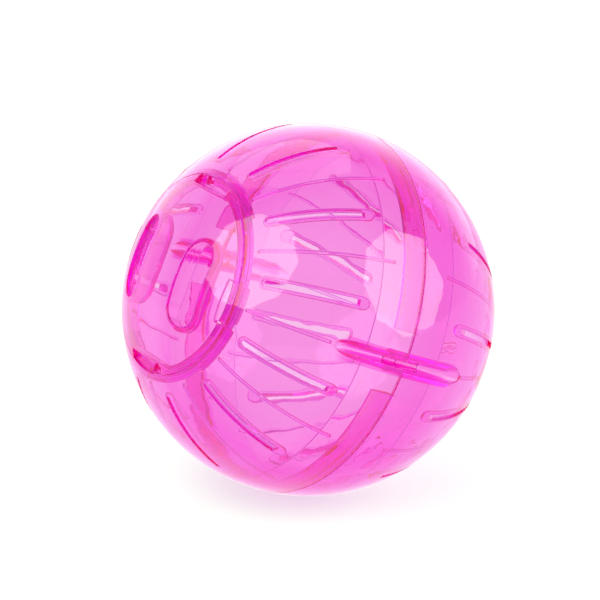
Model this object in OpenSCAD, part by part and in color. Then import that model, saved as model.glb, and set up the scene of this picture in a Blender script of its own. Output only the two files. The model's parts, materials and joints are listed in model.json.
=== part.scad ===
// Exercise ball for a hamster: two clear moulded halves that push together at a lipped seam,
// held by two nested latch channels, and a round door that turns under keepers to lock.
// The pieces are drawn about the centre of the ball with the door axis up, then laid over as
// the ball stands: the ground is z = 0 and the latches point along x.

/* [Ball] */
// Outer diameter of the closed ball
ball_d = 140; // [125:1:170]
// Wall thickness of both halves and of the door
wall_t = 1.6; // [1.4:0.1:2]
// Angle that the door axis rises above the ground as the ball stands
rest_tilt = 23.7; // [0:0.1:45]

/* [Seam] */
// Gap between the edges of the two halves
seam_gap = 0.4; // [0.2:0.1:0.8]
// Reach of the rear half's lip past the seam
lip_len = 8.2; // [6:0.2:10]
// Thickness of the lip at the seam
lip_t = 2.4; // [1.6:0.1:2.8]
// Thickness of the lip at its tip
lip_tip_t = 0.6; // [0.4:0.1:1]
// Length of the lip's root behind the seam
lip_root_len = 2.4; // [1.6:0.2:4]
// Radial running gap between the lip and the front half
lip_gap = 0.3; // [0.2:0.05:0.5]
// Half angle of the break in the lip at each latch
lip_break_angle = 10; // [8:0.5:14]
// Height of the thinned band inside the front half
front_band_h = 16.8; // [14:0.2:19]
// Height of the thickened band inside the rear half
rear_band_h = 14.8; // [10:0.2:19]
// Step in thickness at both bands
band_step = 0.3; // [0.2:0.05:0.5]

/* [Air slots] */
// Number of slots round each half
slot_count = 12; // [8:2:12]
// Width of a slot
slot_w = 2.3; // [2:0.1:3]
// Angle from the edge of the door opening to where a slot starts
slot_margin = 6.9; // [5:0.1:10]
// Angle from the ball's axis where a slot ends
slot_to = 69; // [60:0.5:70]
// Angle from the ball's axis along which a slot is drawn through the wall
slot_draw = 35; // [30:1:45]
// Width of the bead round a slot, on the inside
bead_w = 1.15; // [0.8:0.05:1.6]
// Height of the bead round a slot
bead_h = 0.7; // [0.4:0.1:1]
// Length of the bead past the slot's seam end
bead_tail = 3; // [2:0.2:3.6]

/* [Ribs] */
// Width of a rib
rib_w = 1; // [0.6:0.1:1.4]
// Height of a rib above the inside of the wall
rib_h = 0.6; // [0.3:0.1:0.9]
// Angle from the edge of the door opening to where a rib starts
rib_margin = 6.2; // [5:0.1:9]
// Angle from the ball's axis where a rib ends
rib_to = 80; // [76:0.5:80]

/* [Latches] */
// Inside radius of the front half's latch channel
latch_r = 1.4; // [1.2:0.1:1.8]
// Wall thickness of both latch channels
latch_wall = 1.8; // [1.4:0.1:2]
// Wall thickness of the front half's tongue
tongue_t = 0.8; // [0.7:0.1:1]
// Running gap between the nested channels
latch_gap = 0.3; // [0.2:0.05:0.5]
// Depth of the channels' centre line below the ball's surface at the seam
latch_depth = 4.4; // [3.8:0.1:4.8]
// Reach of the front half's tongue past the seam
tongue_len = 9.2; // [7:0.2:12]
// Thickness of the tongue's tip, measured towards the centre of the ball
tongue_tip_t = 1.5; // [1.2:0.1:2]
// Reach of the rear channel's end under the front half
ear_len = 5.2; // [3:0.2:6]

/* [Door opening] */
// Diameter of the door opening
opening_d = 76.4; // [70:0.2:80]
// Gap between the door and what it sits in
door_gap = 0.3; // [0.2:0.05:0.5]
// Depth of the collar below the edge of the opening
collar_depth = 3.6; // [3:0.1:5]
// Wall thickness of the collar
collar_t = 1.4; // [1:0.1:2]
// Reach of the keepers in from the collar
keeper_reach = 1.5; // [1:0.1:2]
// Thickness of the keepers
keeper_t = 1.3; // [1:0.1:1.6]
// Reach of a keeper's back out from the collar
keeper_back = 0.8; // [0.4:0.1:1.2]
// Angle that a keeper's stop takes up
stop_angle = 3; // [2:0.5:4]

/* [Door] */
// Height of the door's edge
door_edge_h = 2.7; // [2.4:0.1:3.4]
// Width of the flat ring under the door's edge
door_ring_w = 3.3; // [3:0.1:4]
// Wall thickness of the skirt that carries the lugs
skirt_t = 1.3; // [1:0.1:1.6]
// Thickness of the lugs
lug_t = 1.3; // [1:0.1:1.6]
// Length of a finger well
well_len = 32.6; // [28:0.2:36]
// Width of a finger well
well_w = 13; // [11:0.2:15]
// Distance between the middles of the two wells
well_spacing = 37; // [34:0.5:40]
// Depth of the wells' floor below the crown of the door
well_sink = 8; // [6.5:0.1:8.5]
// Wall thickness round and under a well
well_wall = 1.4; // [1:0.1:1.8]
// Length of the step cut in each end of the door
step_len = 22; // [18:0.5:26]
// Reach of a step in from the door's edge
step_reach = 4.9; // [4.4:0.1:5.4]
// Drop of a step's floor below the edge of the opening
step_drop = 1.05; // [0.8:0.05:1.2]
// Wall thickness behind a step
step_wall = 1.2; // [0.8:0.1:1.6]
// Length of the window in a step's floor
window_len = 4.6; // [3.6:0.1:5.6]
// Width of the window
window_w = 3.2; // [2.6:0.1:3.6]
// Distance of the window's middle from the middle of the step
window_shift = 5; // [3:0.5:7]
// Length of the sunk pad at each side of the door
pad_len = 15.6; // [12:0.2:18]
// Reach of a pad in from the door's edge
pad_reach = 4.4; // [3.4:0.1:5.4]
// Depth of a pad
pad_depth = 0.5; // [0.3:0.1:0.8]
// Width of the slit at the end of a pad
slit_w = 0.8; // [0.5:0.1:1.2]
// Length of the slit
slit_len = 2.8; // [2:0.1:3.2]

/* [Hidden] */
$fn = 144;
// How far a cut runs past what it cuts
over = 1;
// Depth of the gate mark on the pole of the rear half, and the radii of its dish and its pip
gate_depth = 0.5;
gate_r = 2.2;
gate_pip_r = 0.7;
half_turn = 180;
// Azimuths of the two keepers that are repeated half a turn on, and of the door's lugs
keeper_angles = [[53.5, 88.5], [-42.5, -13.5]];
lug_angles = [[90, 106], [-10.5, 10.5]];

ball_r = ball_d / 2;
in_r = ball_r - wall_t;
half_seam = seam_gap / 2;
front_band_r = in_r + band_step;
rear_band_r = in_r - band_step;
lip_r = front_band_r - lip_gap;
lip_z = half_seam + lip_len;
lip_root_z = half_seam + lip_root_len;
lip_tip_r = sqrt(pow(lip_r, 2) - pow(lip_z, 2)) - lip_tip_t;
lip_root_r = sqrt(pow(rear_band_r + band_step, 2) - pow(lip_root_z, 2));
pitch = 2 * half_turn / slot_count;
opening_r = opening_d / 2;
opening_angle = asin(opening_r / ball_r);
slot_from = opening_angle + slot_margin;
rib_from = opening_angle + rib_margin;

bead_half_w = slot_w / 2 + bead_w;
draw_from = ball_r * sin(slot_from - slot_draw);
draw_to = ball_r * sin(slot_to - slot_draw);

latch_x = ball_r - latch_depth;
front_channel_r = latch_r + latch_wall;
tongue_r = latch_r + tongue_t;
rear_channel_r = tongue_r + latch_gap;
rear_channel_out_r = rear_channel_r + latch_wall;
// Where the channels run out through the surface of the ball
front_runout = sqrt(pow(ball_r, 2) - pow(latch_x - latch_r, 2));
rear_runout = sqrt(pow(ball_r, 2) - pow(latch_x - rear_channel_r, 2));
tongue_z = half_seam + tongue_len;
tongue_floor_x = latch_x - tongue_r;
ear_z = half_seam + ear_len;

rim_z = sqrt(pow(ball_r, 2) - pow(opening_r, 2));
collar_z = rim_z - collar_depth;
collar_out_r = opening_r + collar_t;
collar_mid_r = opening_r + collar_t / 2;
keeper_in_r = opening_r - keeper_reach;
keeper_back_r = collar_out_r + keeper_back;
door_r = opening_r - door_gap;
seat_z = rim_z - door_edge_h;
keeper_top = seat_z - door_gap;
keeper_bottom = keeper_top - keeper_t;
keeper_back_z = seat_z + keeper_back;
lug_top = keeper_bottom - door_gap;
lug_bottom = lug_top - lug_t;
skirt_r = keeper_in_r - door_gap;
skirt_in_r = skirt_r - skirt_t;
well_floor_z = ball_r - well_sink;
step_y = door_r - step_reach;
step_z = rim_z - step_drop;
pad_x = door_r - pad_reach;

PINK = [0.97, 0.36, 0.80];

// Lays the ball over as it stands, with its lowest point on the ground
module standing() {
    translate([0, 0, ball_r])
        rotate([90 - rest_tilt, 0, 0])
            children();
}

// Copies the children round the ball's axis
module around(count, start = 0) {
    for (i = [0 : count - 1])
        rotate([0, 0, start + i * 2 * half_turn / count])
            children();
}

// A part of a ring: from one azimuth to another, between two radii and two heights
module ring_part(span, r1, r2, z1, z2) {
    rotate([0, 0, span[0]])
        rotate_extrude(angle = span[1] - span[0])
            translate([r1, z1])
                square([r2 - r1, z2 - z1]);
}

module ring(r1, r2, z1, z2) {
    rotate_extrude()
        translate([r1, z1])
            square([r2 - r1, z2 - z1]);
}

// The space between two spheres
module hollow_ball(r1, r2) {
    difference() {
        sphere(r2);
        sphere(r1);
    }
}

module slab(z1, z2) {
    translate([-ball_d, -ball_d, z1])
        cube([2 * ball_d, 2 * ball_d, z2 - z1]);
}

// A slot with a round end towards the door and a square one towards the seam
module slot_outline(from, to, half_w) {
    translate([from + half_w, 0])
        circle(half_w);
    translate([from + half_w, -half_w])
        square([to - from - half_w, 2 * half_w]);
}

module stadium(length, width) {
    straight = length - width;
    translate([0, straight / 2])
        circle(width / 2);
    translate([0, -straight / 2])
        circle(width / 2);
    translate([-width / 2, -straight / 2])
        square([width, straight]);
}

// The air slots of the front half, drawn through the wall along one slanted direction each
module air_slots() {
    around(slot_count, pitch / 2)
        rotate([0, slot_draw, 0])
            translate([0, 0, ball_r / 2])
                linear_extrude(ball_r)
                    slot_outline(draw_from, draw_to, slot_w / 2);
}

// The raised bead round each slot, on the inside of the wall
module slot_beads() {
    bead_len = draw_to + bead_tail - draw_from + bead_w;
    intersection() {
        hollow_ball(in_r - bead_h, in_r + wall_t / 2);
        around(slot_count, pitch / 2)
            rotate([0, slot_draw, 0])
                translate([draw_from - bead_w + bead_len / 2, 0, ball_r / 2])
                    linear_extrude(ball_r)
                        rotate([0, 0, 90])
                            stadium(bead_len, 2 * bead_half_w);
    }
}

// The ribs between the slots; the two over the latches stop short of the channels
module ribs(channel_end) {
    low = ball_r * cos(rib_to);
    high = ball_r * cos(rib_from);
    intersection() {
        hollow_ball(in_r - rib_h, in_r + wall_t / 2);
        for (i = [0 : slot_count - 1]) {
            over_latch = i % (slot_count / 2) == 0;
            from = over_latch ? channel_end : low;
            rotate([0, 0, i * pitch])
                translate([0, -rib_w / 2, from])
                    cube([ball_r, rib_w, high - from]);
        }
    }
}

// A channel alongside the ball's axis at each latch: round floor and straight sides
module channels(r, z1, z2) {
    around(2)
        translate([latch_x, 0, z1]) {
            cylinder(r = r, h = z2 - z1);
            translate([0, -r, 0])
                cube([latch_depth + over, 2 * r, z2 - z1]);
        }
}

// The tongue: a thinner wall round the front channel, carried past the seam and cut on a slant
module tongues() {
    drop = tongue_r - tongue_tip_t;
    slant = atan2(drop, tongue_len);
    around(2)
        difference() {
            translate([latch_x, 0, -tongue_z])
                cylinder(r = tongue_r, h = tongue_z + half_seam + over);
            translate([latch_x, 0, -tongue_z - over])
                cylinder(r = latch_r, h = tongue_z + 2 * over + ball_r / 2);
            translate([tongue_floor_x + tongue_tip_t, -ball_r / 2, -tongue_z])
                rotate([0, slant, 0])
                    translate([0, 0, -over])
                        cube([ball_r, ball_r, tongue_z + ball_r / 2]);
        }
}

module front_wall() {
    intersection() {
        sphere(ball_r);
        difference() {
            union() {
                difference() {
                    hollow_ball(in_r, ball_r + over);
                    intersection() {
                        sphere(front_band_r);
                        slab(-over, front_band_h);
                    }
                }
                slot_beads();
                ribs(front_runout + rib_w);
                ring(opening_r - over, collar_out_r, collar_z, rim_z);
                channels(front_channel_r, -over, front_runout + over);
            }
            slab(-ball_r, half_seam);
        }
    }
}

// The keepers that hold the door's lugs, carried by the collar, with a stop at one end of each
module keepers() {
    profile = [
        [keeper_in_r, keeper_bottom], [keeper_back_r, keeper_bottom], [keeper_back_r, keeper_back_z],
        [collar_mid_r, keeper_back_z], [collar_mid_r, keeper_top], [keeper_in_r, keeper_top]
    ];
    around(2)
        for (span = keeper_angles) {
            rotate([0, 0, span[0]])
                rotate_extrude(angle = span[1] - span[0])
                    polygon(profile);
            stop_span = [span[0] - stop_angle / 2, span[0] + stop_angle / 2];
            ring_part(stop_span, keeper_in_r, collar_mid_r, lug_bottom, keeper_top - keeper_t / 4);
        }
}

module front_shell() {
    color(PINK) standing() {
        difference() {
            front_wall();
            air_slots();
            channels(latch_r, -over, front_runout + over);
            cylinder(r = opening_r, h = ball_d);
        }
        keepers();
        tongues();
    }
}

// The lip, broken at each latch: a wedge that is thickest at the seam, with its root on the rear half
module lip_wedge(z1, z2) {
    profile = [
        [ball_r, -lip_root_z - over], [lip_root_r, -lip_root_z - over], [lip_root_r, -lip_root_z],
        [lip_r - lip_t, half_seam], [lip_tip_r, lip_z], [ball_r, lip_z]
    ];
    intersection() {
        around(2, lip_break_angle)
            rotate_extrude(angle = half_turn - 2 * lip_break_angle)
                polygon(profile);
        slab(z1, z2);
    }
}

module lip() {
    intersection() {
        sphere(lip_r);
        lip_wedge(-lip_root_z, lip_z + over);
    }
    intersection() {
        sphere(in_r + wall_t / 2);
        lip_wedge(-lip_root_z, -half_seam);
    }
}

module rear_wall() {
    intersection() {
        sphere(ball_r);
        difference() {
            union() {
                hollow_ball(in_r, ball_r + over);
                intersection() {
                    hollow_ball(rear_band_r, ball_r);
                    slab(-rear_band_h, over);
                }
                mirror([0, 0, 1]) {
                    slot_beads();
                    ribs(rear_runout + rib_w);
                }
                channels(rear_channel_out_r, -rear_runout - over, over);
            }
            slab(-half_seam, ball_r + over);
        }
    }
}

// The ends of the rear channels that reach under the front half
module ears() {
    intersection() {
        sphere(lip_r);
        around(2)
            translate([latch_x, 0, -half_seam - latch_wall])
                cylinder(r = rear_channel_out_r, h = ear_z + half_seam + latch_wall);
    }
}

// The mark that the moulding gate leaves: a shallow dish with a pip
module gate_mark() {
    translate([0, 0, -ball_r])
        difference() {
            cylinder(r = gate_r, h = 2 * gate_depth, center = true);
            cylinder(r = gate_pip_r, h = 2 * gate_depth, center = true);
        }
}

module rear_shell() {
    color(PINK) standing()
        difference() {
            union() {
                rear_wall();
                lip();
                ears();
            }
            mirror([0, 0, 1])
                air_slots();
            channels(rear_channel_r, -rear_runout - over, over);
            channels(front_channel_r + latch_gap, -half_seam, ear_z + over);
            gate_mark();
        }
}

module well_outlines(grow) {
    for (side = [-1, 1])
        translate([side * well_spacing / 2, 0])
            stadium(well_len + 2 * grow, well_w + 2 * grow);
}

// The solid of the door before its wells, steps, pads and windows are cut
module door_blank() {
    intersection() {
        sphere(ball_r);
        cylinder(r = door_r, h = ball_d);
        union() {
            difference() {
                slab(seat_z, ball_d);
                sphere(in_r);
            }
            ring(door_r - door_ring_w, door_r + over, seat_z, rim_z);
            translate([0, 0, well_floor_z - well_wall])
                linear_extrude(ball_r)
                    well_outlines(well_wall);
            around(2)
                translate([-step_len / 2 - step_wall, step_y - step_wall, seat_z])
                    cube([step_len + 2 * step_wall, ball_r, ball_r]);
        }
    }
}

module door_lugs() {
    around(2)
        for (span = lug_angles)
            ring_part(span, skirt_r - skirt_t / 2, door_r, lug_bottom, lug_top);
}

// One end of the door: a step at its edge, with a window through the floor of the step
module door_end_cuts() {
    translate([-step_len / 2, step_y, step_z])
        cube([step_len, ball_r, ball_r]);
    translate([-window_shift - window_len / 2, step_y + slit_w, lug_bottom - over])
        cube([window_len, window_w, ball_r]);
}

// One side of the door: a shallow pad, with a slit at its end
module door_side_cuts() {
    difference() {
        translate([pad_x, -pad_len / 2, 0])
            cube([ball_r, pad_len, ball_r]);
        sphere(ball_r - pad_depth);
    }
    translate([pad_x, -pad_len / 2 - slit_w, lug_bottom - over])
        cube([slit_len, slit_w, ball_r]);
}

module door() {
    color(PINK) standing()
        difference() {
            union() {
                door_blank();
                ring(skirt_in_r, skirt_r, lug_bottom, seat_z + over);
                door_lugs();
            }
            translate([0, 0, well_floor_z])
                linear_extrude(ball_r)
                    well_outlines(0);
            around(2) {
                door_end_cuts();
                door_side_cuts();
            }
        }
}

rear_shell();
front_shell();
door();
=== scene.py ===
"""Looks of a clear pink hamster ball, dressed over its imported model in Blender 4.5.

Lengths are in metres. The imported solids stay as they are. Each of the three mouldings has a class
with its sizes and its finish, `Ball` says where the centre and the axis are as the ball stands, and
`Studio` holds the camera, the surroundings, the floor and the softboxes.
"""

import json
import logging
import math
from dataclasses import dataclass
from enum import Enum

import bpy
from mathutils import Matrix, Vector

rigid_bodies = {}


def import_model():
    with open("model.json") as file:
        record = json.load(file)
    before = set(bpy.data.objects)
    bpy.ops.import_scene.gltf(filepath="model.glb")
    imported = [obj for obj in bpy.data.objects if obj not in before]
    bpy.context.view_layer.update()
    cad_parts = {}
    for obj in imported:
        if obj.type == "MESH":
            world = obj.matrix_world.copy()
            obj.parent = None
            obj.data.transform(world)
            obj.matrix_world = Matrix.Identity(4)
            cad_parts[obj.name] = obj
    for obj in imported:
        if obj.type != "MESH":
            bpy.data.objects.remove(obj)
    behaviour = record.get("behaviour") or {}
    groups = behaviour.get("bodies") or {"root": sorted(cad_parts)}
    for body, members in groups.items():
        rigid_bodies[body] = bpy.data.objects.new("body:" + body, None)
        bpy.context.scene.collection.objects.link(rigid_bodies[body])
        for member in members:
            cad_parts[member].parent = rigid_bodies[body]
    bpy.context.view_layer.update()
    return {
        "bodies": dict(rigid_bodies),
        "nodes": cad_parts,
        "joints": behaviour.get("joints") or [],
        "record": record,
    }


LOG = logging.getLogger("hamster_ball")
MM = 0.001
# A ray through the ball crosses many faces, and comes out black where its bounces end inside.
BOUNCES = 128
WHITE = (1.0, 1.0, 1.0, 1.0)
Colour = tuple[float, float, float]
Place = tuple[float, float, float]
Pair = tuple[float, float]


class Lit(Enum):
    """The softboxes of the studio."""

    LEFT = "left"
    RIGHT = "right"
    OVERHEAD = "overhead"


class Measure(Enum):
    """What a place on the ball is measured by."""

    ALONG = "from the seam's plane towards the door"
    BESIDE = "from the axis"
    SIDEWAYS = "from the upright plane through the axis"
    ABOVE = "above or below the plane through the axis and the latches"


class Wire:
    """A node socket with the arithmetic that the materials use."""

    def __init__(self, shop: "NodeShop", socket: bpy.types.NodeSocket) -> None:
        """Holds the socket and the shop that adds its nodes."""
        self.shop = shop
        self.socket = socket

    def _math(self, operation: str, a: "Wire | float", b: "Wire | float") -> "Wire":
        """Adds a Math node for a and b."""
        return self.shop.add("ShaderNodeMath", {"operation": operation}, {0: a, 1: b})

    def __add__(self, other: "Wire | float") -> "Wire":
        """Sum."""
        return self._math("ADD", self, other)

    __radd__ = __add__

    def __sub__(self, other: "Wire | float") -> "Wire":
        """Difference."""
        return self._math("SUBTRACT", self, other)

    def __rsub__(self, other: float) -> "Wire":
        """Difference from a number."""
        return self._math("SUBTRACT", other, self)

    def __mul__(self, other: "Wire | float") -> "Wire":
        """Product."""
        return self._math("MULTIPLY", self, other)

    __rmul__ = __mul__

    def __pow__(self, other: "Wire | float") -> "Wire":
        """Power."""
        return self._math("POWER", self, other)

    def __rpow__(self, other: float) -> "Wire":
        """Power of a number."""
        return self._math("POWER", other, self)

    def __abs__(self) -> "Wire":
        """Value without its sign."""
        return self.shop.add("ShaderNodeMath", {"operation": "ABSOLUTE"}, {0: self})

    def least(self, other: "Wire | float") -> "Wire":
        """The smaller of the two."""
        return self._math("MINIMUM", self, other)

    def vector(self, operation: str, other: "Wire | Place | None" = None) -> "Wire":
        """Adds a Vector Math node that gives a vector.

        Args:
            operation: What it works out.
            other: The second vector, where the operation takes one.

        Returns:
            The vector.
        """
        inputs = {0: self} if other is None else {0: self, 1: other}
        return self.shop.add("ShaderNodeVectorMath", {"operation": operation}, inputs)

    def dot(self, other: "Wire | Place") -> "Wire":
        """Dot product with a vector."""
        settings = {"operation": "DOT_PRODUCT"}
        return self.shop.add("ShaderNodeVectorMath", settings, {0: self, 1: other}, "Value")

    def length(self) -> "Wire":
        """Length of a vector."""
        return self.shop.add("ShaderNodeVectorMath", {"operation": "LENGTH"}, {0: self}, "Value")


class NodeShop:
    """Adds nodes to one node tree."""

    def __init__(self, tree: bpy.types.NodeTree) -> None:
        """Empties the tree and keeps it."""
        self.tree = tree
        tree.nodes.clear()

    def node(
        self, kind: str, settings: dict[str, object], inputs: dict[int | str, object]
    ) -> bpy.types.Node:
        """Adds a node. Every node of the scene comes from here.

        Args:
            kind: The node's type name.
            settings: Properties, set before anything is linked.
            inputs: Socket name or number to a value or a Wire.

        Returns:
            The node.
        """
        node = self.tree.nodes.new(kind)
        for name, value in settings.items():
            setattr(node, name, value)
        for name, value in inputs.items():
            if isinstance(value, Wire):
                self.tree.links.new(value.socket, node.inputs[name])
            else:
                node.inputs[name].default_value = value
        return node

    def add(
        self,
        kind: str,
        settings: dict[str, object],
        inputs: dict[int | str, object],
        out: int | str = 0,
    ) -> Wire:
        """Adds a node whose result is used.

        Args:
            kind: The node's type name.
            settings: Its properties.
            inputs: Its inputs.
            out: Name or number of the output that is handed back.

        Returns:
            That output.
        """
        return Wire(self, self.node(kind, settings, inputs).outputs[out])

    def mix(self, share: Wire, first: Wire | Colour, second: Wire | Colour) -> Wire:
        """Mixes two colours.

        Args:
            share: The share of the second colour.
            first: The first colour.
            second: The second colour.

        Returns:
            The mixed colour.
        """
        pair = [c if isinstance(c, Wire) else (*c, 1.0) for c in (first, second)]
        inputs = {0: share, 6: pair[0], 7: pair[1]}
        return self.add("ShaderNodeMix", {"data_type": "RGBA"}, inputs, 2)

    def ramp(self, value: Wire, start: Pair, to: Pair = (0.0, 1.0), smooth: bool = False) -> Wire:
        """Maps a value from one stretch onto another and holds it at the ends.

        Args:
            value: The value.
            start: Where the stretch begins and ends.
            to: What its two ends turn into.
            smooth: Whether the way between is a smooth step or a straight line.

        Returns:
            The mapped value.
        """
        inputs = {
            "Value": value,
            "From Min": start[0],
            "From Max": start[1],
            "To Min": to[0],
            "To Max": to[1],
        }
        settings = {"interpolation_type": "SMOOTHSTEP" if smooth else "LINEAR"}
        return self.add("ShaderNodeMapRange", settings, inputs)

    def rays(self) -> tuple[Wire, Wire, Wire]:
        """Tells camera rays, glossy rays and transmission rays apart.

        Returns:
            Three shares of 0 or 1. A ray that is bent at a clear surface is glossy and in
            transmission at once.
        """
        kinds = ("Is Camera Ray", "Is Glossy Ray", "Is Transmission Ray")
        camera, glossy, through = (self.add("ShaderNodeLightPath", {}, {}, k) for k in kinds)
        return camera, glossy, through


@dataclass(frozen=True)
class Ball:
    """Where the ball stands: its centre, and its axis from the rear pole to the door."""

    centre: Place = (0.0, 0.0, 0.07)
    axis: Place = (0.0, -0.915663, 0.401948)

    def place(self, shop: NodeShop) -> Wire:
        """Gives the place from the ball's centre."""
        return shop.add("ShaderNodeTexCoord", {}, {}, "Object").vector("SUBTRACT", self.centre)

    def over(self) -> Place:
        """Gives the direction square to the axis and to the line through the latches."""
        return (0.0, self.axis[2], -self.axis[1])

    def measure(self, place: Wire, by: Measure) -> Wire:
        """Measures a place from the ball's centre.

        Args:
            place: The place from the centre.
            by: Which distance is wanted.

        Returns:
            A dot product with the axis, the length of the cross product with it, or the size of a
            dot product with a direction square to it.
        """
        if by is Measure.ALONG:
            return place.dot(self.axis)
        if by is Measure.BESIDE:
            return place.vector("CROSS_PRODUCT", self.axis).length()
        return abs(place.dot((1.0, 0.0, 0.0) if by is Measure.SIDEWAYS else self.over()))


@dataclass(frozen=True)
class Reach:
    """A stretch where a painted shade is full from `low` to `high` and fades over `fade` outside
    them.
    """

    low: float
    high: float
    fade: Pair

    def mask(self, shop: NodeShop, value: Wire) -> Wire:
        """Works out the painted shade's share, from 0 to 1, as a smooth rise times a smooth fall.

        Args:
            shop: Adds the nodes.
            value: A length.

        Returns:
            The share.
        """
        rise = shop.ramp(value, (self.low - self.fade[0], self.low), smooth=True)
        fall = shop.ramp(value, (self.high, self.high + self.fade[1]), (1.0, 0.0), smooth=True)
        return rise * fall


@dataclass(frozen=True)
# Painted shade: a deeper pink in Base Color over thick parts, not a real change in the dye.
class PaintedShade:
    """Painted shade: a deeper pink that stands in for light crossing a thick part, kept to its
    place by one reach for each measure.

    A `flat` painted shade shows only where the wall is seen flat, as a rim that guides light
    sideways.
    """

    where: tuple[tuple[Measure, Reach], ...]
    depth: float
    flat: bool = False
    flat_power: float = 1.5

    def share(self, shop: NodeShop, ball: Ball, place: Wire) -> Wire:
        """Works out the painted shade's share: its depth times its masks, times facing to a power.

        Args:
            shop: Adds the nodes.
            ball: Gives the measures.
            place: The place from the ball's centre.

        Returns:
            The share.
        """
        first, reach = self.where[0]
        share = reach.mask(shop, ball.measure(place, first)) * self.depth
        for by, reach in self.where[1:]:
            share = share * reach.mask(shop, ball.measure(place, by))
        # The painted shade grows where the surface is seen edge-on.
        if self.flat:
            facing = shop.add("ShaderNodeLayerWeight", {}, {"Blend": 0.5}, "Facing")
            share = share * facing**self.flat_power
        return share


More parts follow.
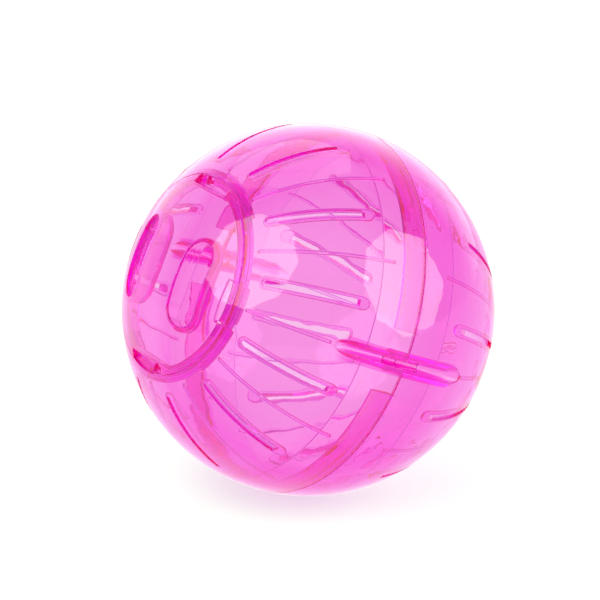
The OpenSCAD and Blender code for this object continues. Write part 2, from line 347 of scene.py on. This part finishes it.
@dataclass(frozen=True)
class ClearPink:
    """Clear dyed plastic: its colour comes from the length of plastic that the light crosses, and
    from painted shade in its base colour, a deeper pink in thick parts and dark lines along the
    edges.

    Each `..._range` is the stretch of a value that turns into a share from 0 to 1.
    """

    name: str
    ball: Ball
    painted_shades: tuple[PaintedShade, ...]
    ior: float = 1.5
    keep_per_mm: Colour = (0.9995, 0.69, 0.99)
    density_margin: float = 1.05
    tint: Colour = (1.0, 1.0, 0.923)
    uneven_tint: Colour = (0.998, 0.965, 0.9)
    dye_scale: float = 22.0
    dye_detail: float = 2.0
    # Painted shade: the deeper pink of thick parts, and the greatest share it takes.
    painted_shade_tint: Colour = (0.98, 0.0, 0.74)
    deepest_painted_shade: float = 0.85
    # The first two paint dark shade lines along the edges; the radius and samples also round the
    # edges' normals, and the range sets where the painted lines show.
    edge_shade_tint: Colour = (0.6, 0.0, 0.68)
    edge_shade_share: float = 0.95
    edge_radius: float = 0.6 * MM
    edge_samples: int = 6
    edge_range: Pair = (0.985, 0.85)
    wave_height: float = 0.07 * MM
    wave_scale: float = 120.0
    wave_detail: float = 1.0
    wave_roughness: float = 0.4
    wave_apart: float = 4.0
    scuff_height: float = 0.004
    scuff_roughness: float = 0.06
    speck_scale: float = 900.0
    speck_range: Pair = (0.64, 0.74)
    patch_scale: float = 28.0
    patch_range: Pair = (0.5, 0.66)
    shadow_tint: Colour = (0.72, 0.92, 0.76)

    def absorption(self) -> tuple[tuple[float, float, float, float], float]:
        """Works out the volume's colour and density from the share of light kept per millimetre.

        A channel loses density times one minus its colour per metre, so the density is a little
        over the greatest loss.

        Returns:
            The colour with alpha, and the density in 1/m.
        """
        loss = [-math.log(kept) / MM for kept in self.keep_per_mm]
        density = max(loss) * self.density_margin
        return (*(1 - x / density for x in loss), 1.0), density

    def scuffs(self, shop: NodeShop, place: Wire) -> Wire:
        """Marks the scuffs of handling: specks of a fine noise in the patches of a wide one.

        Args:
            shop: Adds the nodes.
            place: The place from the ball's centre.

        Returns:
            The share of scuffing, from 0 to 1.
        """
        fine = {"Vector": place, "Scale": self.speck_scale, "Detail": 1.0}
        wide = {"Vector": place, "Scale": self.patch_scale, "Detail": 0.0}
        specks = shop.ramp(shop.add("ShaderNodeTexNoise", {}, fine), self.speck_range)
        patches = shop.ramp(shop.add("ShaderNodeTexNoise", {}, wide), self.patch_range)
        return specks * patches

    def edges(self, shop: NodeShop) -> tuple[Wire, Wire]:
        """Rounds the moulded edges a little and finds where dark shade lines are painted along
        them.

        Args:
            shop: Adds the nodes.

        Returns:
            The normal of the rounded edges, and the share of painted edge shade, which grows as the
            cosine
         between that normal and the face's own falls.
        """
        bevel = {"samples": self.edge_samples}
        rounded = shop.add("ShaderNodeBevel", bevel, {"Radius": self.edge_radius})
        own = shop.add("ShaderNodeNewGeometry", {}, {}, "Normal")
        return rounded, shop.ramp(rounded.dot(own), self.edge_range)

    def colour(self, shop: NodeShop, place: Wire, lines: Wire) -> Wire:
        """Wires the colour: dye that is a little uneven, painted shade as a deeper pink in thick
        parts, and painted dark shade lines at the edges.

        The painted shades' shares are added up and capped at the greatest share allowed.

        Args:
            shop: Adds the nodes.
            place: The place from the ball's centre.
            lines: The share of painted dark edge shade.

        Returns:
            The colour.
        """
        noise = {"Vector": place, "Scale": self.dye_scale, "Detail": self.dye_detail}
        dye = shop.add("ShaderNodeTexNoise", {}, noise)
        shade_share = self.painted_shades[0].share(shop, self.ball, place)
        for tone in self.painted_shades[1:]:
            shade_share = shade_share + tone.share(shop, self.ball, place)
        body = shop.mix(dye, self.tint, self.uneven_tint)
        # Painted shade: a deeper pink over the thick parts.
        shaded = shop.mix(shade_share.least(self.deepest_painted_shade), body, self.painted_shade_tint)
        # Painted shade: dark lines along the edges.
        return shop.mix(lines * self.edge_shade_share, shaded, self.edge_shade_tint)

    def relief(self, shop: NodeShop, place: Wire, rounded: Wire, scuffs: Wire) -> Wire:
        """Wires the normal: faint flow waves and scuffs over the rounded edges.

        The waves are noise over place and over distance from the ball's centre, so that the two
        faces of a wall wave apart and bend what is seen through them a little.

        Args:
            shop: Adds the nodes.
            place: The place from the ball's centre.
            rounded: The normal of the rounded edges.
            scuffs: The share of scuffing.

        Returns:
            The normal.
        """
        noise = {
            "Vector": place,
            "W": place.length() * self.wave_apart,
            "Scale": self.wave_scale,
            "Detail": self.wave_detail,
            "Roughness": self.wave_roughness,
        }
        waves = shop.add("ShaderNodeTexNoise", {"noise_dimensions": "4D"}, noise)
        bump = {
            "Strength": 1.0,
            "Distance": self.wave_height,
            "Height": waves - scuffs * self.scuff_height,
            "Normal": rounded,
        }
        return shop.add("ShaderNodeBump", {}, bump)

    def make(self) -> bpy.types.Material:
        """Builds the material.

        Shadow rays pass straight through in a tint of their own, which keeps the shadow soft.

        Returns:
            The material.
        """
        material = bpy.data.materials.new(self.name)
        material.use_nodes = True
        shop = NodeShop(material.node_tree)
        place = self.ball.place(shop)
        scuffs = self.scuffs(shop, place)
        rounded, lines = self.edges(shop)
        plastic = {
            "Normal": self.relief(shop, place, rounded, scuffs),
            "Base Color": self.colour(shop, place, lines),
            "Roughness": scuffs * self.scuff_roughness,
            "IOR": self.ior,
            "Transmission Weight": 1.0,
        }
        body = shop.add("ShaderNodeBsdfPrincipled", {}, plastic)
        tinted = {"Color": (*self.shadow_tint, 1.0)}
        through = shop.add("ShaderNodeBsdfTransparent", {}, tinted)
        is_shadow = shop.add("ShaderNodeLightPath", {}, {}, "Is Shadow Ray")
        surface = shop.add("ShaderNodeMixShader", {}, {0: is_shadow, 1: body, 2: through})
        colour, density = self.absorption()
        absorbing = {"Color": colour, "Density": density}
        volume = shop.add("ShaderNodeVolumeAbsorption", {}, absorbing)
        shop.node("ShaderNodeOutputMaterial", {}, {"Surface": surface, "Volume": volume})
        return material


@dataclass
class Moulding:
    """One moulded piece of the ball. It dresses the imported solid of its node."""

    ball: Ball
    node: str
    ring_fade: float = 0.2 * MM

    def finish(self) -> ClearPink:
        """Gives the piece its plastic."""
        raise NotImplementedError

    def ring(self, beside: Pair, along: Pair, depth: float) -> PaintedShade:
        """Gives the painted shade of a ring about the axis.

        Args:
            beside: Its inner and outer radius.
            along: Its two ends, from the seam's plane.
            depth: The depth of the painted shade.

        Returns:
            The painted shade.
        """
        fade = (self.ring_fade, self.ring_fade)
        sides = (Measure.BESIDE, Reach(*beside, fade))
        ends = (Measure.ALONG, Reach(*along, fade))
        return PaintedShade((sides, ends), depth)

    def dress(self, frame: dict) -> None:
        """Puts the finish on the node's material slots and reports the piece.

        Args:
            frame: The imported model.
        """
        plastic = self.finish().make()
        node = frame["nodes"][self.node]
        for slot in node.material_slots:
            slot.material = plastic
        LOG.info("dressed %s with %s: %d faces", self.node, plastic.name, len(node.data.polygons))


@dataclass
class Shell(Moulding):
    """What the two halves share: painted shade at the rim by the seam and on the latch channels'
    thick sides.
    """

    # Where and how strongly shade is painted on the latch channels' sides and at the rim.
    latch_out: Pair = (60.0 * MM, 71.0 * MM)
    latch_sides: Pair = (1.1 * MM, 4.4 * MM)
    latch_edge: Pair = (0.5 * MM, 0.3 * MM)
    latch_fade: float = 4.0 * MM
    latch_shade_depth: float = 0.55
    rim_shade_depth: float = 2.4
    rim_edge: float = 2.0 * MM

    def rim(self, low: float, high: float, fade: Pair) -> PaintedShade:
        """Gives the rim's painted shade between two distances from the seam's plane."""
        return PaintedShade(((Measure.ALONG, Reach(low, high, fade)),), self.rim_shade_depth, flat=True)

    def latch(self, low: float, high: float) -> PaintedShade:
        """Gives the painted shade on the latch channels' sides.

        Args:
            low: Where the channels start, from the seam's plane.
            high: Where they end.

        Returns:
            The painted shade.
        """
        fade = self.latch_fade
        above = (Measure.ABOVE, Reach(*self.latch_sides, self.latch_edge))
        sideways = (Measure.SIDEWAYS, Reach(*self.latch_out, self.latch_edge))
        along = (Measure.ALONG, Reach(low + fade, high - fade, (fade, fade)))
        return PaintedShade((above, sideways, along), self.latch_shade_depth)


@dataclass
class RearShell(Shell):
    """The half away from the door, with the seam lip that reaches under the front half."""

    node: str = "rear_shell"
    # Where and how strongly shade is painted at the rim and the latch channels.
    rim_shade_depth: float = 2.8
    lip_length: float = 8.2 * MM
    rim_length: float = 6.0 * MM
    rim_fade: float = 34.0 * MM
    latch_length: float = 25.5 * MM

    def finish(self) -> ClearPink:
        """Gives the half its plastic, which flowed a long way and is the more wavy.

        Returns:
            The finish, with painted shade at the rim and the latch channels.
        """
        return ClearPink(
            "clear_pink_rear",
            self.ball,
            (
                self.rim(-self.rim_length, self.lip_length, (self.rim_fade, self.rim_edge)),
                self.latch(-self.latch_length, self.lip_length),
            ),
            wave_height=0.3 * MM,
            wave_scale=90.0,
            wave_detail=1.5,
        )


@dataclass
class FrontShell(Shell):
    """The half with the door opening and its collar."""

    node: str = "front_shell"
    # Where and how strongly shade is painted on this half: rim, latch channels and collar.
    latch_sides: Pair = (0.7 * MM, 4.4 * MM)
    latch_length: float = 26.5 * MM
    tongue_length: float = 12.0 * MM
    rim_length: float = 14.0 * MM
    rim_fade: float = 14.0 * MM
    collar: Pair = (38.1 * MM, 40.4 * MM)
    collar_along: Pair = (55.9 * MM, 58.7 * MM)
    collar_shade_depth: float = 1.0

    def finish(self) -> ClearPink:
        """Gives the half its plastic.

        Returns:
            The finish, with painted shade at the rim, the latch channels and the collar.
        """
        return ClearPink(
            "clear_pink_front",
            self.ball,
            (
                self.rim(-self.rim_edge, self.rim_length, (self.rim_edge, self.rim_fade)),
                self.latch(-self.tongue_length, self.latch_length),
                self.ring(self.collar, self.collar_along, self.collar_shade_depth),
            ),
        )


@dataclass
class Door(Moulding):
    """The round door with two finger wells, whose skirt turns behind the keepers."""

    node: str = "door"
    # Where and how strongly shade is painted on the skirt.
    skirt: Pair = (34.9 * MM, 38.2 * MM)
    skirt_along: Pair = (55.4 * MM, 58.7 * MM)
    skirt_shade_depth: float = 1.0

    def finish(self) -> ClearPink:
        """Gives the door its plastic, with painted shade at the skirt."""
        skirt = self.ring(self.skirt, self.skirt_along, self.skirt_shade_depth)
        return ClearPink("clear_pink_door", self.ball, (skirt,))


@dataclass(frozen=True)
class Softbox:
    """An octagonal softbox that faces the ball.

    `toward` is its direction from the ball in the camera's right, up and back.
    """

    which: Lit
    toward: Place
    reach: float
    width: float
    watts: float
    corner: float = 0.7071

    def hang(self, centre: Vector, axes: tuple[Vector, Vector, Vector], colour: Colour) -> None:
        """Makes the lamp.

        It glows where the distances from its two middle lines add up to less than `corner` of its
        width, which cuts the corners off its square.

        Args:
            centre: The ball's centre.
            axes: The camera's right, up and back.
            colour: The lamp's colour.
        """
        direction = sum((a * t for a, t in zip(axes, self.toward)), Vector()).normalized()
        data = bpy.data.lights.new(self.which.value, "AREA")
        data.shape, data.size, data.energy = "SQUARE", self.width, self.watts
        data.color = colour
        data.use_nodes = True
        shop = NodeShop(data.node_tree)
        spot = shop.add("ShaderNodeNewGeometry", {}, {}, "Parametric")
        apart = spot.vector("SUBTRACT", (0.5, 0.5, 0.0)).vector("ABSOLUTE")
        corner = apart.dot((1.0, 1.0, 0.0))
        inside = shop.add("ShaderNodeMath", {"operation": "LESS_THAN"}, {0: corner, 1: self.corner})
        glow = shop.add("ShaderNodeEmission", {}, {"Color": WHITE, "Strength": inside})
        shop.node("ShaderNodeOutputLight", {}, {"Surface": glow})
        lamp = bpy.data.objects.new(self.which.value, data)
        bpy.context.scene.collection.objects.link(lamp)
        lamp.location = centre + direction * self.reach
        lamp.rotation_mode = "QUATERNION"
        lamp.rotation_quaternion = (-direction).to_track_quat("-Z", "Y")


@dataclass(frozen=True)
class Studio:
    """Camera, white surroundings, floor and softboxes.

    The `room_...` strengths light the plastic by direction. A direction is told by its cosine with
    the way back to the camera, and each `..._turn` is the stretch of it where strengths change.
    """

    ball: Ball
    azimuth: float = 59.88
    elevation: float = 19.82
    distance: float = 1.6876
    lens: float = 269.8
    sensor: float = 36.0
    clip_end: float = 50.0
    shift: Pair = (-0.01366, 0.01598)
    room_back: float = 0.9
    room_side: float = 0.48
    room_front: float = 0.75
    room_rim: float = 1.1
    back_turn: Pair = (-0.35, 0.1)
    front_turn: Pair = (0.4, 0.75)
    rim_turn: Pair = (-0.95, -0.35)
    plain_light: float = 0.6
    floor_reach: float = 1.1
    floor_colour: Colour = (0.73, 0.69, 0.75)
    floor_glow: float = 0.96
    floor_glow_seen: float = 1.22
    floor_glow_mirrored: float = 0.15
    floor_share_seen: float = 0.25
    floor_share_through: float = 0.7
    lamp_colour: Colour = (0.6, 1.0, 0.55)
    softboxes: tuple[Softbox, ...] = (
        Softbox(Lit.LEFT, (-0.553, 0.469, 0.689), 1.0, 1.0, 11.5),
        Softbox(Lit.RIGHT, (0.863, 0.242, 0.443), 1.0, 1.0, 10.5),
        Softbox(Lit.OVERHEAD, (-0.12, 0.966, -0.23), 1.2, 1.0, 3.0),
    )

    def axes(self) -> tuple[Vector, Vector, Vector]:
        """Works out the camera's directions from its azimuth and elevation.

        Returns:
            Its right, up and backward directions.
        """
        a, e = math.radians(self.azimuth), math.radians(self.elevation)
        back = Vector((math.sin(a) * math.cos(e), -math.cos(a) * math.cos(e), math.sin(e)))
        right = Vector((math.cos(a), math.sin(a), 0.0))
        return right, back.cross(right), back

    def camera(self) -> None:
        """Makes the camera at the photograph's viewing angle."""
        data = bpy.data.cameras.new("camera")
        data.lens, data.sensor_width = self.lens, self.sensor
        data.shift_x, data.shift_y = self.shift
        data.clip_end = self.clip_end
        cam = bpy.data.objects.new("camera", data)
        bpy.context.scene.collection.objects.link(cam)
        back = self.axes()[2]
        cam.location = Vector(self.ball.centre) + back * self.distance
        cam.rotation_mode = "QUATERNION"
        cam.rotation_quaternion = (-back).to_track_quat("-Z", "Y")
        bpy.context.scene.camera = cam

    def world(self) -> None:
        """Gives the surroundings: white where they are seen, soft plain light on the object.

        What the plastic bends or reflects is the room, which is brighter behind the ball and in
        front of it than at its sides. A reflection off the outside sees the room behind the ball
        brighter still, which makes its rim pale.
        """
        world = bpy.data.worlds.new("surroundings")
        bpy.context.scene.world = world
        world.use_nodes = True
        shop = NodeShop(world.node_tree)
        camera, glossy, through = shop.rays()
        toward = shop.add("ShaderNodeTexCoord", {}, {}, "Generated")
        side = toward.dot(tuple(self.axes()[2]))
        falls = shop.ramp(side, self.back_turn, (self.room_back, self.room_side), smooth=True)
        rise = self.room_front - self.room_side
        rises = shop.ramp(side, self.front_turn, (0.0, rise), smooth=True)
        rims = shop.ramp(side, self.rim_turn, (self.room_rim, 0.0), smooth=True)
        seen = camera * (1.0 - self.plain_light) + self.plain_light
        level = falls + rises + rims * (1 - through)
        white = shop.add("ShaderNodeBackground", {}, {"Color": WHITE, "Strength": seen})
        room = shop.add("ShaderNodeBackground", {}, {"Color": WHITE, "Strength": level})
        in_plastic = (glossy + through).least(1.0)
        mixed = shop.add("ShaderNodeMixShader", {}, {0: in_plastic, 1: white, 2: room})
        shop.node("ShaderNodeOutputWorld", {}, {"Surface": mixed})

    def floor(self) -> None:
        """Makes the pale floor, which keeps the object's shadow."""
        mesh = bpy.data.meshes.new("floor")
        s = self.floor_reach
        mesh.from_pydata([(-s, -s, 0), (s, -s, 0), (s, s, 0), (-s, s, 0)], [], [(0, 1, 2, 3)])
        obj = bpy.data.objects.new("floor", mesh)
        bpy.context.scene.collection.objects.link(obj)
        material = bpy.data.materials.new("floor_white")
        material.use_nodes = True
        shop = NodeShop(material.node_tree)
        camera, glossy, through = shop.rays()
        mirrored = glossy * (1 - through)
        share = camera * self.floor_share_seen + glossy + through * self.floor_share_through
        extra = camera * self.floor_glow_seen + mirrored * self.floor_glow_mirrored
        glowing = {"Color": WHITE, "Strength": extra + self.floor_glow}
        glow = shop.add("ShaderNodeEmission", {}, glowing)
        plain = shop.add("ShaderNodeBsdfDiffuse", {}, {"Color": (*self.floor_colour, 1.0)})
        mixed = shop.add("ShaderNodeMixShader", {}, {0: share, 1: plain, 2: glow})
        shop.node("ShaderNodeOutputMaterial", {}, {"Surface": mixed})
        mesh.materials.append(material)

    def build(self) -> None:
        """Builds the whole studio."""
        self.camera()
        self.world()
        self.floor()
        for softbox in self.softboxes:
            softbox.hang(Vector(self.ball.centre), self.axes(), self.lamp_colour)


def main() -> None:
    """Builds the studio and the ball in order."""
    logging.basicConfig(level=logging.INFO, format="%(message)s")
    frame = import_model()
    scene = bpy.context.scene
    scene.view_settings.view_transform = "Standard"
    scene.cycles.max_bounces = BOUNCES
    scene.cycles.transmission_bounces = scene.cycles.glossy_bounces = BOUNCES
    ball = Ball()
    Studio(ball).build()
    for piece in (RearShell(ball), FrontShell(ball), Door(ball)):
        piece.dress(frame)


if __name__ == "__main__":
    main()
